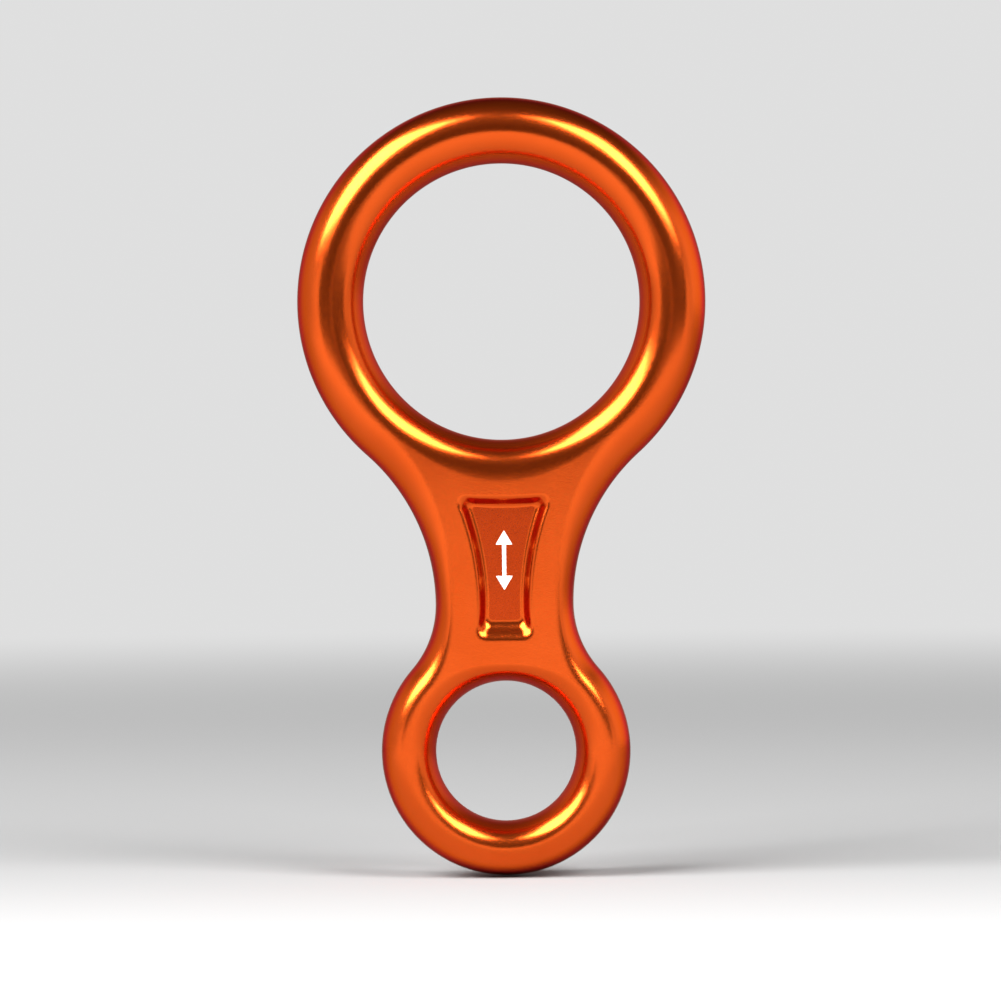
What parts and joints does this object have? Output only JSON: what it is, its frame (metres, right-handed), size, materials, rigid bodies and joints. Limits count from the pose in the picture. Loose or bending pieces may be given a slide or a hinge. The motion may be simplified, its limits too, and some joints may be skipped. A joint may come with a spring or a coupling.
{
  "type": "figure-eight rope descender",
  "caption": "One-piece forged figure-eight descender with a large rope eye, a small carabiner eye and a sunk marking panel on each side of its neck.",
  "frame": {"origin": "centre of the rope eye, midway between the front and rear faces", "axes": "+Z along the load line from the carabiner eye to the rope eye, X across the body, -Y out of the front face"},
  "size_m": [0.063, 0.012, 0.12],
  "materials": {
    "anodised_body": "forged aluminium, fine bead-blasted and anodised glossy orange",
    "mark_ink": "matte white printing ink"
  },
  "bodies": {
    "root": {"descender_body": "anodised_body", "front_load_mark": "mark_ink", "rear_load_mark": "mark_ink"}
  },
  "joints": []
}
